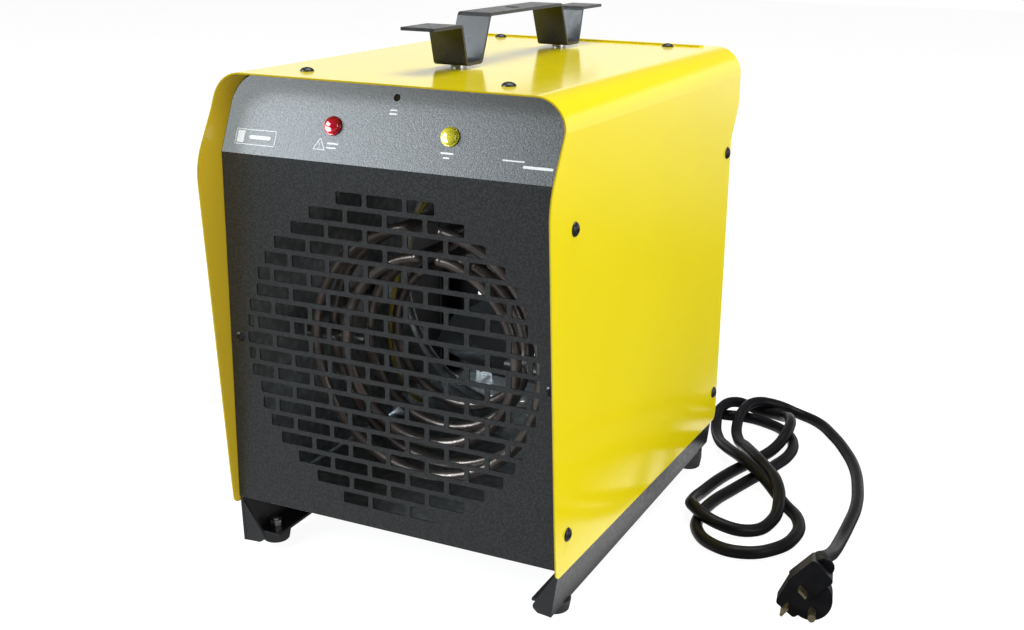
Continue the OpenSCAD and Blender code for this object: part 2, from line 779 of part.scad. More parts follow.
module thermostat_shaft() {
    color(steel) translate([knob_x, back_y - 19.5, knob_z]) rod_y(6, 30);
}

module thermostat_nut() {
    color(zinc) translate([knob_x, back_y, knob_z]) rotate([-90, 0, 0]) hex_nut(14, 2.4, 10.1);
}

// skirted knob with finger flutes and a raised pointer
module thermostat_knob() {
    h = 13;
    color(black) translate([knob_x, back_y + 3.2, knob_z]) difference() {
        union() {
            rod_y(knob_d, 2.4);
            rod_y(knob_d - 7, h);
            translate([-0.9, 2, knob_d / 2 - 7.5]) cube([1.8, h - 2, 5]);
        }
        translate([0, -1, 0]) rod_y(6.1, 11);
        for (i = [0 : 11]) rotate([0, 15 + 30 * i, 0]) translate([0, 2.4, knob_d / 2 - 2.2])
            rod_y(4, h);
    }
}

// sensing bulb held in two clips under the top, and its capillary tube
module thermostat_bulb() {
    bulb_z = 322;
    clip_y = 128;
    color(copper) {
        translate([-30, clip_y, bulb_z]) rod_x(6.4, 60);
        translate([30 - eps, clip_y, bulb_z]) rod_x(2, knob_x - 30);
        translate([knob_x, clip_y, bulb_z]) sphere(d = 2.8, $fn = 24);
        translate([knob_x, clip_y, knob_z + 15]) cylinder(d = 2, h = bulb_z - knob_z - 15);
        translate([knob_x, clip_y, knob_z + 14]) sphere(d = 2.8, $fn = 24);
        translate([knob_x, clip_y, knob_z + 14]) rod_y(2, 7);
    }
    color(steel) for (x = [-20, 20]) translate([x - 3, 0, 0]) difference() {
        translate([0, clip_y - 5, bulb_z - 5]) cube([6, 10, inner_top - bulb_z + 5]);
        translate([-1, clip_y, bulb_z]) rod_x(6.6, 8);
        translate([-1, clip_y - 4, bulb_z + 4]) cube([8, 8, inner_top - bulb_z - 5]);
        translate([-1, clip_y - 2, bulb_z - 6]) cube([8, 4, 6]);
    }
}

// ---- wiring -------------------------------------------------------------------------------

block_x = 96;

module terminal_block() {
    color([0.12, 0.1, 0.1]) translate([block_x - 16, 84, face_z]) difference() {
        cube([24, 56, 20]);
        for (i = [0 : 3]) translate([-1, 4 + 13 * i, 8]) cube([26, 10, 13]);
    }
}

module terminal_screws() {
    color(brass_tone) for (i = [0 : 3], x = [-10, 2])
        translate([block_x + x, 93 + 13 * i, face_z + 8]) cylinder(d = 6, h = 4, $fn = 24);
}

// insulated conductors from the gland to the block, and from the block up to the switch
module lead_wires() {
    d = 3.4;
    z = face_z + 10;
    for (i = [0 : 2]) color([[0.1, 0.1, 0.1], [0.9, 0.9, 0.9], [0.1, 0.5, 0.2]][i])
        union() {
            x = gland_x - 3.6 + 3.6 * i;
            translate([x, 93 + 13 * i, gland_z]) rod_y(d, back_y - 28 - 93 - 13 * i);
            translate([x - 2, 91 + 13 * i, gland_z - 2]) cube([4, 4, 4]);
            translate([x, 93 + 13 * i, gland_z]) rod_x(d, block_x - 14 - x);
        }
}

// ---- cord, gland and plug -----------------------------------------------------------------

module cord_gland() {
    color(black) translate([gland_x, 0, gland_z]) {
        rotate([-90, 0, 0]) translate([0, 0, back_y - 14]) rotate_extrude()
            polygon([[cord_d / 2 + 0.15, 0], [9, 0], [9, 14], [12.5, 14], [12.5, 18], [10.5, 20],
                [10.5, 26], [cord_d / 2 + 0.15, 26]]);
    }
}

// ribbed boot moulded round the cord where it leaves the gland
module cord_boot() {
    color(black) translate([gland_x, back_y + 12, gland_z]) rotate([-90, 0, 0]) rotate_extrude()
        polygon(concat([[cord_d / 2 + 0.15, 0]], [for (k = [0 : 3]) each [[8.6 - k * 0.6, k * 4.4],
            [8.6 - k * 0.6, k * 4.4 + 2.8], [7.2 - k * 0.5, k * 4.4 + 3.2],
            [7.2 - k * 0.5, k * 4.4 + 4.2]]], [[5.6, 18], [cord_d / 2 + 0.15, 18]]));
}

module gland_nut() {
    color(black) translate([gland_x, back_y - sheet_t - 4, gland_z]) rotate([-90, 0, 0])
        hex_nut(24, 4, 18.1);
}

// the cord's route: out of the gland, down to the floor, two crossing figures of eight,
// then a wide arc to the plug
cord_route = [[64, 134, 54], [64, 163, 54], [64, 192, 54], [64, 207, 53], [66, 223, 43],
    [73, 238, 26], [86, 249, 11], [104, 256, 5], [126, 259, 5], [148, 254, 5], [168, 241, 5],
    [182, 218, 5], [186, 190, 5], [181, 160, 5], [173, 130, 5], [165, 100, 5], [158, 70, 5],
    [157, 42, 5], [163, 17, 5], [181, -1, 5], [204, -3, 5], [223, 13, 5], [231, 40, 5],
    [226, 68, 5], [208, 93, 5], [184, 117, 13], [160, 141, 15], [138, 168, 11], [121, 198, 6],
    [110, 226, 8], [107, 247, 14], [115, 267, 15], [135, 277, 7], [157, 269, 8], [171, 247, 15],
    [176, 220, 14], [173, 194, 8], [165, 170, 5], [156, 142, 5], [149, 114, 5], [145, 86, 5],
    [145, 60, 8], [154, 36, 14], [176, 25, 10], [199, 34, 5], [209, 57, 6], [207, 82, 12],
    [198, 106, 16], [185, 127, 16], [170, 147, 16], [153, 174, 12], [139, 200, 6], [129, 226, 8],
    [127, 248, 14], [132, 268, 17], [147, 283, 13], [168, 288, 6], [189, 277, 5], [208, 253, 5],
    [226, 223, 5], [242, 188, 5], [253, 150, 5], [260, 112, 5], [262, 76, 5], [263, 44, 6],
    [265, 14, 12], [267, -14, 22], [269, -38, 32], [270, -54, 37]];

function heading(path, i) = unit(path[min(i + 1, len(path) - 1)] - path[max(i - 1, 0)]);
function ring_at(path, i, d, sides) = let (h = heading(path, i),
    across = unit(cross([0, 0, 1], h)), up = cross(h, across))
    [for (k = [0 : sides - 1]) path[i] + d / 2 * (across * cos(360 * k / sides)
        + up * sin(360 * k / sides))];

module swept_tube(path, d, sides) {
    n = len(path);
    points = [for (i = [0 : n - 1]) each ring_at(path, i, d, sides)];
    walls = [for (i = [0 : n - 2], k = [0 : sides - 1]) let (a = i * sides + k,
        b = i * sides + (k + 1) % sides) each [[a, b, a + sides], [b, b + sides, a + sides]]];
    caps = [[for (k = [sides - 1 : -1 : 0]) k], [for (k = [0 : sides - 1]) (n - 1) * sides + k]];
    polyhedron(points, concat(walls, caps));
}

module power_cord() { color(black) swept_tube(cord_route, cord_d, 8); }

// frame of the plug: X across its face, Z up its face, -Y out of the face
plug_at = [267.5, -72.5, 0.4];
plug_turn = 12;
plug_lean = 12;
plug_t = 22;

module in_plug() {
    translate(plug_at) rotate([0, 0, plug_turn]) rotate([-plug_lean, 0, 0]) children();
}

plug_lift = 4.6;                             // the leaning body stands on its lower rear edge

// two flat contacts turned square to each other and a round earth pin, rooted in the body
module contacts(grow) {
    in_plug() translate([0, -plug_t / 2, plug_lift]) {
        for (k = [[-2.6, 21, -42], [-13.2, 8, 50]]) translate([k[0], 0, k[1]])
            rotate([0, -k[2], 0]) translate([-3.2 - grow, -15, -0.8 - grow])
                cube([6.4 + 2 * grow, 19, 1.6 + 2 * grow]);
        translate([4.2, 4, 6.6]) rotate([90, 0, 0]) cylinder(d = 4.9 + 2 * grow, h = 20);
    }
}

module plug_body() {
    color(black) difference() {
        union() {
            in_plug() translate([0, 0, plug_lift]) {
                along_y(-plug_t / 2, plug_t) {
                    polygon(outline([[-12.9, 23.5, 2], [-20, 9.5, 2], [-7, 0.6, 2], [6, 12, 0],
                        [4, 26, 0]]));
                    translate([3, 14.2]) circle(13.6);
                }
                along_y(-plug_t / 2 - 1, plug_t + 2)
                    polygon(outline([[2.7, 41, 2], [-13.6, 24.6, 2], [0, 13.6, 2],
                        [16.8, 27.6, 2]]));
            }
            translate([270, -54, 37]) rotate([108, 0, 4]) cylinder(d1 = 12, d2 = 15, h = 12);
        }
        contacts(0.06);
        // the end of the cord
        translate([270, -54, 37]) rotate([107.3, 0, 183.6]) translate([0, 0, -0.1])
            cylinder(d = cord_d + 0.4, h = 18);
    }
}

module plug_blades() { color(steel) contacts(0); }

housing();
face_panel();
rear_panel();
base_pan();
heat_shield();
foot_rail_left();
foot_rail_right();
rubber_feet();
foot_screws();
foot_nuts();
handle();
handle_spacers();
handle_bolts();
handle_nuts();
top_screws();
side_screws_left();
side_screws_right();
face_screws();
rear_screws();
pan_screws();
safety_lamp_lens();
power_lamp_lens();
lamp_barrels();
lamp_clips();
limit_switch();
limit_bracket();
reset_button();
element_outer();
element_inner();
element_supports();
element_plate();
element_insulators();
element_nuts();
fan_deck();
fan_blade();
fan_nut();
motor_shaft();
motor_rotor();
motor_bearings();
motor_front_bell();
motor_stator();
motor_windings();
motor_rear_bell();
motor_bolts();
motor_standoffs();
thermostat_body();
thermostat_shaft();
thermostat_nut();
thermostat_knob();
thermostat_bulb();
terminal_block();
terminal_screws();
lead_wires();
cord_gland();
gland_nut();
cord_boot();
power_cord();
plug_body();
plug_blades();
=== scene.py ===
"""Looks of the portable fan-forced heater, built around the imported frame."""
import json
import math

import bmesh
import bpy
from mathutils import Matrix, Vector

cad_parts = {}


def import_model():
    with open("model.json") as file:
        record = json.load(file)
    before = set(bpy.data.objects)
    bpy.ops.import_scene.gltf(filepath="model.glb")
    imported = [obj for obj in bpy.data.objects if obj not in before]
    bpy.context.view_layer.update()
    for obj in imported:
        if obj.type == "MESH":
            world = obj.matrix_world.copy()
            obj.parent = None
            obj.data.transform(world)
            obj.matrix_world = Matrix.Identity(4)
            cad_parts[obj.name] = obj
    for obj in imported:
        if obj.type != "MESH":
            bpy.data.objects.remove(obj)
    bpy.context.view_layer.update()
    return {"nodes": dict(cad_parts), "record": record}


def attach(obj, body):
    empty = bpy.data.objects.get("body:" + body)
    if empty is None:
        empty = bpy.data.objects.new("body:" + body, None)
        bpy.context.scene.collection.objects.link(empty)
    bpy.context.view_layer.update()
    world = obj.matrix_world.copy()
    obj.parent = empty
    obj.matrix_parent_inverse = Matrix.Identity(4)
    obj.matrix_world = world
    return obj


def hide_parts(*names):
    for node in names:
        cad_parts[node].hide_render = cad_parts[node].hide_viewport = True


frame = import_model()
NODES = frame["nodes"]
MM = 0.001
FACING_BACK = Matrix.Rotation(math.pi, 4, "Z")

# the yellow wrap's bends, in metres: their centre lines and the radius of their inner side
BEND_X, BEND_Z, BEND_INNER = 0.106, 0.323, 0.0204

# the sloping control strip: its tilt, and the place on it that its pieces are measured from
TILT = math.radians(23)
STRIP = Matrix.Translation(Vector((0, -154, 290.6)) * MM) @ Matrix.Rotation(-TILT, 4, "X")

# the thermostat knob's centre, in millimetres
KNOB_X, KNOB_Z = 62, 300


def mm(*xyz):
    return Vector(xyz) * MM


# ---- materials -------------------------------------------------------------------------

# the colour sockets of a Mix node
MIX_A, MIX_B, MIX_RESULT = 6, 7, 2


class Mat:
    """A Principled material and the few node helpers that the looks need."""

    def __init__(self, name, color, rough, metallic=0.0, **sockets):
        self.mat = bpy.data.materials.new(name)
        self.mat.use_nodes = True
        self.mat.diffuse_color = (*color, 1.0)
        self.tree = self.mat.node_tree
        self.bsdf = self.tree.nodes["Principled BSDF"]
        self.set("Base Color", (*color, 1.0))
        self.set("Roughness", rough)
        self.set("Metallic", metallic)
        for key, value in sockets.items():
            self.set(key.replace("_", " "), value)
        self.coord = None

    def set(self, socket, value):
        self.bsdf.inputs[socket].default_value = value

    def node(self, kind, **values):
        n = self.tree.nodes.new(kind)
        for key, value in values.items():
            if key in n.inputs:
                n.inputs[key].default_value = value
            else:
                setattr(n, key, value)
        return n

    def link(self, a, b):
        self.tree.links.new(a, b)

    def place(self, stretch=(1, 1, 1)):
        """Object coordinates, stretched for a brushed or wound finish."""
        if self.coord is None:
            self.coord = self.node("ShaderNodeTexCoord").outputs["Object"]
        if stretch == (1, 1, 1):
            return self.coord
        m = self.node("ShaderNodeMapping", Scale=stretch)
        self.link(self.coord, m.inputs["Vector"])
        return m.outputs["Vector"]

    def noise(self, size_mm, detail=2.0, rough=0.5, stretch=(1, 1, 1)):
        n = self.node("ShaderNodeTexNoise", Scale=1000.0 / size_mm, Detail=detail, Roughness=rough)
        self.link(self.place(stretch), n.inputs["Vector"])
        return n.outputs["Fac"]

    def cells(self, size_mm, feature="F1", smooth=None):
        n = self.node("ShaderNodeTexVoronoi", Scale=1000.0 / size_mm)
        n.feature = feature
        if smooth is not None:
            n.inputs["Smoothness"].default_value = smooth
        self.link(self.place(), n.inputs["Vector"])
        return n.outputs["Distance"]

    def remap(self, value, low, high, out_low, out_high):
        n = self.node("ShaderNodeMapRange")
        limits = {"From Min": low, "From Max": high, "To Min": out_low, "To Max": out_high}
        for socket, v in limits.items():
            n.inputs[socket].default_value = v
        self.link(value, n.inputs["Value"])
        return n.outputs["Result"]

    def math(self, op, a, b):
        n = self.node("ShaderNodeMath", operation=op)
        for i, v in enumerate((a, b)):
            if isinstance(v, (int, float)):
                n.inputs[i].default_value = v
            else:
                self.link(v, n.inputs[i])
        return n.outputs["Value"]

    def inside_wrap(self, y0_mm, y1_mm):
        """1 on the inner side of the yellow wrap between two depths, 0 elsewhere."""
        split = self.node("ShaderNodeSeparateXYZ")
        self.link(self.place(), split.inputs[0])
        side = self.math("ABSOLUTE", split.outputs["X"], 0.0)
        x = self.math("MAXIMUM", self.math("SUBTRACT", side, BEND_X), 0.0)
        z = self.math("MAXIMUM", self.math("SUBTRACT", split.outputs["Z"], BEND_Z), 0.0)
        square = self.math("ADD", self.math("MULTIPLY", x, x), self.math("MULTIPLY", z, z))
        r = self.math("SQRT", square, 0.0)
        y = split.outputs["Y"]
        deep = self.math("MULTIPLY", self.math("GREATER_THAN", y, y0_mm * MM),
                         self.math("LESS_THAN", y, y1_mm * MM))
        return self.math("MULTIPLY", deep, self.math("LESS_THAN", r, BEND_INNER))

    def color_mix(self, fac, a, b):
        n = self.node("ShaderNodeMix", data_type="RGBA")
        self.link(fac, n.inputs["Factor"])
        for i, v in ((MIX_A, a), (MIX_B, b)):
            if isinstance(v, tuple):
                n.inputs[i].default_value = (*v, 1.0)
            else:
                self.link(v, n.inputs[i])
        return n.outputs[MIX_RESULT]

    def base(self, output):
        self.link(output, self.bsdf.inputs["Base Color"])

    def roughness(self, output):
        self.link(output, self.bsdf.inputs["Roughness"])

    def bump(self, height, depth_mm):
        """Add relief on top of any that is there already."""
        n = self.node("ShaderNodeBump", Distance=depth_mm * MM, Strength=1.0)
        old = self.bsdf.inputs["Normal"].links
        if old:
            self.link(old[0].from_socket, n.inputs["Normal"])
        self.link(height, n.inputs["Height"])
        self.link(n.outputs["Normal"], self.bsdf.inputs["Normal"])


def yellow_paint():
    """Gloss yellow outside; inside the brow a darker, more orange yellow that is painted shade and
    bounce light; dark grey inside the wrap.
    """
    m = Mat("yellow_powder_coat", (0.86, 0.70, 0.0), 0.16)
    drift = m.remap(m.noise(140, 3), 0.3, 0.7, 0.0, 1.0)
    paint = m.color_mix(drift, (0.84, 0.69, 0.0), (0.88, 0.72, 0.001))
    face_back, panel_front, wrap_front = -131, 161, -190
    inner = m.inside_wrap(face_back, panel_front)
    # painted shade: the inner side of the brow gets a darker, more orange yellow for the shade and
    # the bounce light there
    painted_brow_shade = m.color_mix(m.inside_wrap(wrap_front, face_back), paint, (0.60, 0.42, 0.022))
    m.base(m.color_mix(inner, painted_brow_shade, (0.035, 0.036, 0.036)))
    gloss = m.remap(m.noise(9, 4), 0.3, 0.7, 0.12, 0.17)
    m.roughness(m.math("ADD", gloss, m.math("MULTIPLY", inner, 0.4)))
    m.bump(m.noise(2.2, 2), 0.003)
    return m


def charcoal_paint():
    """Finely textured powder coat of the panels."""
    m = Mat("charcoal_texture_coat", (0.016, 0.017, 0.018), 0.44, Specular_IOR_Level=0.5)
    grain = m.cells(1.5, "SMOOTH_F1", 0.6)
    fine = m.noise(0.9, 3, 0.6)
    pits = m.remap(grain, 0.15, 0.6, 0.0, 1.0)
    m.base(m.color_mix(pits, (0.022, 0.023, 0.024), (0.009, 0.0095, 0.010)))
    m.roughness(m.remap(fine, 0.3, 0.7, 0.30, 0.42))
    m.bump(grain, 0.04)
    m.bump(fine, 0.05)
    return m


def grey_paint():
    m = Mat("dark_grey_coat", (0.014, 0.014, 0.015), 0.34)
    drift = m.remap(m.noise(30, 3), 0.3, 0.7, 0, 1)
    m.base(m.color_mix(drift, (0.012, 0.012, 0.013), (0.017, 0.017, 0.018)))
    m.roughness(m.remap(m.noise(3, 4), 0.3, 0.7, 0.26, 0.40))
    m.bump(m.noise(1.4, 3), 0.02)
    return m


def black_screw():
    m = Mat("black_coated_screw", (0.02, 0.02, 0.022), 0.3, 0.4)
    m.roughness(m.remap(m.noise(1.2, 4), 0.3, 0.7, 0.22, 0.42))
    m.bump(m.noise(0.8, 2), 0.015)
    return m


def rubber(name, color=(0.022, 0.022, 0.023), rough=0.62, grain=0.7, depth=0.04, shine=0.45):
    m = Mat(name, color, rough, Specular_IOR_Level=shine)
    dull = tuple(c * 1.45 for c in color)
    m.base(m.color_mix(m.remap(m.noise(12, 4), 0.35, 0.75, 0, 1), color, dull))
    m.roughness(m.remap(m.noise(2.5, 3), 0.3, 0.7, rough - 0.08, rough + 0.08))
    m.bump(m.noise(grain, 3), depth)
    return m


def plastic(name, color, rough=0.42, grain=0.6):
    m = Mat(name, color, rough)
    shade = tuple(c * 0.86 for c in color)
    m.base(m.color_mix(m.remap(m.noise(14, 3), 0.3, 0.7, 0, 1), color, shade))
    m.roughness(m.remap(m.noise(2, 3), 0.3, 0.7, rough - 0.05, rough + 0.07))
    m.bump(m.noise(grain, 2), 0.02)
    return m


def metal(name, color, rough=0.32, brushed=(1, 1, 1), spread=0.10, patch=9):
    m = Mat(name, color, rough, 1.0)
    dark = tuple(c * 0.78 for c in color)
    m.base(m.color_mix(m.remap(m.noise(patch, 4), 0.3, 0.72, 0, 1), color, dark))
    streak = m.noise(0.8, 3, 0.6, brushed)
    m.roughness(m.remap(streak, 0.3, 0.7, rough - spread, rough + spread))
    m.bump(streak, 0.012)
    return m


def galvanised():
    m = Mat("galvanised_sheet", (0.56, 0.58, 0.58), 0.38, 0.9)
    spangle = m.remap(m.cells(7), 0.0, 0.6, 0, 1)
    m.base(m.color_mix(spangle, (0.62, 0.64, 0.64), (0.42, 0.44, 0.45)))
    m.roughness(m.remap(m.noise(3, 3), 0.3, 0.7, 0.3, 0.5))
    return m


def sheath():
    """Heat-tinted steel tube of the elements."""
    m = Mat("element_sheath", (0.17, 0.14, 0.125), 0.32, 0.8)
    heat = m.remap(m.noise(16, 4), 0.35, 0.7, 0, 1)
    m.base(m.color_mix(heat, (0.23, 0.195, 0.175), (0.11, 0.093, 0.086)))
    m.roughness(m.remap(m.noise(2, 4), 0.3, 0.7, 0.27, 0.38))
    m.bump(m.noise(0.7, 3), 0.005)
    return m


def lens(name, color, deep):
    m = Mat(name, color, 0.10, Transmission_Weight=0.35, IOR=1.49,
            Coat_Weight=0.4, Coat_Roughness=0.04)
    m.base(m.color_mix(m.remap(m.noise(9, 2), 0.35, 0.65, 0, 1), color, deep))
    m.roughness(m.remap(m.noise(6, 2), 0.3, 0.7, 0.07, 0.12))
    return m


MATERIALS = {
    "yellow_powder_coat": yellow_paint(),
    "charcoal_texture_coat": charcoal_paint(),
    "dark_grey_coat": grey_paint(),
    "black_coated_screw": black_screw(),
    "black_rubber": rubber("black_rubber"),
    "cord_rubber": rubber("cord_rubber", (0.005, 0.005, 0.006), 0.36, 1.2, 0.01, 0.10),
    "zinc_steel": metal("zinc_steel", (0.60, 0.60, 0.60), 0.34),
    "spring_steel": metal("spring_steel", (0.42, 0.42, 0.44), 0.3),
    "bright_steel": metal("bright_steel", (0.62, 0.62, 0.63), 0.24, (1, 12, 1)),
    "galvanised_sheet": galvanised(),
    "fan_aluminium": metal("fan_aluminium", (0.50, 0.52, 0.54), 0.20, (6, 1, 1), 0.05, 22),
    "bearing_bronze": metal("bearing_bronze", (0.55, 0.38, 0.18), 0.36),
    "motor_casting": metal("motor_casting", (0.42, 0.43, 0.45), 0.5, (1, 1, 1), 0.08),
    "motor_laminations": metal("motor_laminations", (0.20, 0.20, 0.22), 0.48, (1, 30, 1)),
    "winding_copper": metal("winding_copper", (0.60, 0.27, 0.12), 0.34, (1, 8, 1)),
    "terminal_brass": metal("terminal_brass", (0.70, 0.54, 0.22), 0.3),
    "plug_contact": metal("plug_contact", (0.72, 0.62, 0.38), 0.26, (1, 8, 1)),
    "element_sheath": sheath(),
    "element_porcelain": plastic("element_porcelain", (0.80, 0.78, 0.72), 0.3, 1.0),
    "white_plastic": plastic("white_plastic", (0.72, 0.71, 0.66)),
    "ivory_plastic": plastic("ivory_plastic", (0.62, 0.57, 0.42)),
    "black_plastic": plastic("black_plastic", (0.022, 0.022, 0.023), 0.4),
    "wire_insulation": plastic("wire_insulation", (0.62, 0.60, 0.50), 0.35),
    "red_lens": lens("red_lens", (0.34, 0.006, 0.014), (0.20, 0.0, 0.006)),
    "amber_lens": lens("amber_lens", (0.42, 0.39, 0.03), (0.26, 0.25, 0.01)),
    # for pieces that only the visual model has
    "print_white": plastic("print_white", (0.66, 0.67, 0.68), 0.6, 0.4),
    "sleeve_cream": plastic("sleeve_cream", (0.74, 0.70, 0.52), 0.6, 0.5),
    "sleeve_yellow": plastic("sleeve_yellow", (0.66, 0.52, 0.08), 0.5, 0.5),
    "sleeve_red": plastic("sleeve_red", (0.40, 0.03, 0.02), 0.5, 0.5),
}
# the record's slot that each of those materials belongs to
SLOT = {s["node"]: s["material_slot"] for s in frame["record"]["subparts"]}


def dress(obj, slot_name):
    obj.data.materials.clear()
    obj.data.materials.append(MATERIALS[slot_name].mat)


for node_name, node_obj in NODES.items():
    dress(node_obj, SLOT[node_name])


def soften(obj, width_mm, segments=2, angle=35):
    """Round the edges that are sharper than an angle."""
    b = obj.modifiers.new("edge", "BEVEL")
    b.width = width_mm * MM
    b.segments = segments
    b.limit_method = "ANGLE"
    b.angle_limit = math.radians(angle)
    b.harden_normals = True


for node_name in ("housing", "face_panel", "rear_panel", "base_pan",
                  "foot_rail_left", "foot_rail_right"):
    soften(NODES[node_name], 0.35)
soften(NODES["handle"], 0.5, 3)


# ---- pieces ----------------------------------------------------------------------------


def piece(name, data, body, slot_name):
    """Object that rides on a body and wears a slot's material."""
    obj = bpy.data.objects.new(name, data)
    bpy.context.scene.collection.objects.link(obj)
    dress(obj, slot_name)
    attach(obj, body)
    return obj


def round_line(name, points, diameter_mm, ring, steps):
    """Round smooth curve through points in millimetres."""
    curve = bpy.data.curves.new(name, "CURVE")
    curve.dimensions = "3D"
    curve.bevel_depth = diameter_mm / 2 * MM
    curve.bevel_resolution = ring
    curve.resolution_u = steps
    curve.use_fill_caps = True
    spline = curve.splines.new("BEZIER")
    spline.bezier_points.add(len(points) - 1)
    for point, at in zip(spline.bezier_points, points):
        point.co = mm(*at)
        point.handle_left_type = point.handle_right_type = "AUTO"
    return curve


# the mains cord, in millimetres, from the gland to the plug
CORD_D = 9.6
CORD_ROUTE = [
    (64, 163, 54), (64, 192, 54), (64, 207, 53), (66, 223, 43),
    (73, 238, 26), (86, 249, 11), (104, 256, 5), (126, 259, 5), (148, 254, 5), (168, 241, 5),
    (182, 218, 5), (186, 190, 5), (181, 160, 5), (173, 130, 5), (165, 100, 5), (158, 70, 5),
    (157, 42, 5), (163, 17, 5), (181, -1, 5), (204, -3, 5), (223, 13, 5), (231, 40, 5),
    (226, 68, 5), (208, 93, 5), (184, 117, 13), (160, 141, 15), (138, 168, 11), (121, 198, 6),
    (110, 226, 8), (107, 247, 14), (115, 267, 15), (135, 277, 7), (157, 269, 8), (171, 247, 15),
    (176, 220, 14), (173, 194, 8), (165, 170, 5), (156, 142, 5), (149, 114, 5), (145, 86, 5),
    (145, 60, 8), (154, 36, 14), (176, 25, 10), (199, 34, 5), (209, 57, 6), (207, 82, 12),
    (198, 106, 16), (185, 127, 16), (170, 147, 16), (153, 174, 12), (139, 200, 6), (129, 226, 8),
    (127, 248, 14), (132, 268, 17), (147, 283, 13), (168, 288, 6), (189, 277, 5), (208, 253, 5),
    (226, 223, 5), (242, 188, 5), (253, 150, 5), (260, 112, 5), (262, 76, 5), (263, 44, 6),
    (265, 14, 12), (267, -14, 22), (269, -38, 32), (270, -54, 37),
]


def power_cord():
    curve = round_line("cord_line", CORD_ROUTE, CORD_D, 6, 6)
    cord = piece("mains_cord", curve, "heater", "cord_rubber")
    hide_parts("power_cord")


# ---- mesh helpers ----------------------------------------------------------------------


def fillet(corners, steps=5):
    """Closed outline whose corners (x, z, radius) are rounded."""
    out = []
    n = len(corners)
    for i, (x, z, r) in enumerate(corners):
        q = Vector((x, z))
        p = Vector(corners[i - 1][:2])
        s = Vector(corners[(i + 1) % n][:2])
        if r == 0:
            out.append(q)
            continue
        a, b = (p - q).normalized(), (s - q).normalized()
        half = math.acos(max(-1, min(1, a.dot(b)))) / 2
        c = q + (a + b).normalized() * (r / math.sin(half))
        u = q + a * (r / math.tan(half)) - c
        v = q + b * (r / math.tan(half)) - c
        start = math.atan2(u.y, u.x)
        turn = math.atan2(u.x * v.y - u.y * v.x, u.dot(v))
        for k in range(steps + 1):
            t = start + turn * k / steps
            out.append(c + Vector((math.cos(t), math.sin(t))) * r)
    return out


def slab(bm, outline, y0, y1):
    """Prism of an (x, z) outline in millimetres, between y0 and y1."""
    rings = [[bm.verts.new(mm(p.x, y, p.y)) for p in outline] for y in (y0, y1)]
    n = len(outline)
    bm.faces.new(rings[0])
    bm.faces.new(list(reversed(rings[1])))
    for i in range(n):
        j = (i + 1) % n
        bm.faces.new((rings[0][j], rings[0][i], rings[1][i], rings[1][j]))


def turned(bm, profile, at, steps=48):
    """Solid of revolution about Y through at; profile lists (radius, y), closed on the axis."""
    cx, cy, cz = at
    rings = []
    for r, y in profile:
        if r == 0:
            rings.append([bm.verts.new(mm(cx, cy + y, cz))])
        else:
            turns = [2 * math.pi * k / steps for k in range(steps)]
            rings.append([bm.verts.new(mm(cx + r * math.cos(t), cy + y, cz + r * math.sin(t)))
                          for t in turns])
    for a, b in zip(rings, rings[1:]):
        for k in range(steps):
            j = (k + 1) % steps
            ring = [a[k % len(a)], a[j % len(a)], b[j % len(b)], b[k % len(b)]]
            bm.faces.new(list(dict.fromkeys(ring)))


def swept(bm, path, radii, sides):
    """Tube along a path, with its own radius at each point."""
    rings = []
    up = Vector((0.13, 0.2, 0.97)).normalized()
    for i, (p, r) in enumerate(zip(path, radii)):
        h = (path[min(i + 1, len(path) - 1)] - path[max(i - 1, 0)]).normalized()
        side = up.cross(h).normalized()
        up = h.cross(side)
        rings.append([bm.verts.new((p + (side * math.cos(t) + up * math.sin(t)) * r) * MM)
                      for t in (2 * math.pi * k / sides for k in range(sides))])
    for a, b in zip(rings, rings[1:]):
        for k in range(sides):
            j = (k + 1) % sides
            bm.faces.new((a[k], a[j], b[j], b[k]))
    bm.faces.new(list(reversed(rings[0])))
    bm.faces.new(rings[-1])


def through(points, steps):
    """Points of a smooth line through the given points (Catmull-Rom)."""
    pts = [Vector(p) for p in points]
    pts = [2 * pts[0] - pts[1]] + pts + [2 * pts[-1] - pts[-2]]
    out = []
    for i in range(1, len(pts) - 2):
        a, b, c, d = pts[i - 1:i + 3]
        for k in range(steps):
            t = k / steps
            out.append(0.5 * ((2 * b) + (c - a) * t + (2 * a - 5 * b + 4 * c - d) * t * t
                              + (3 * b - a - 3 * c + d) * t ** 3))
    return out + [pts[-2]]


def build(name, make, body, slot_name, bevel_mm=0.0, segments=2, at=None):
    """Piece from a bmesh maker, moved by the matrix at and shaded smooth but for its edges."""
    me = bpy.data.meshes.new(name)
    bm = bmesh.new()
    make(bm)
    bmesh.ops.recalc_face_normals(bm, faces=bm.faces)
    if at is not None:
        bmesh.ops.transform(bm, matrix=at, verts=bm.verts)
    bm.to_mesh(me)
    bm.free()
    me.shade_smooth()
    me.set_sharp_from_angle(angle=math.radians(38))
    obj = piece(name, me, body, slot_name)
    if bevel_mm:
        soften(obj, bevel_mm, segments, 40)
    return obj


# ---- plug ------------------------------------------------------------------------------


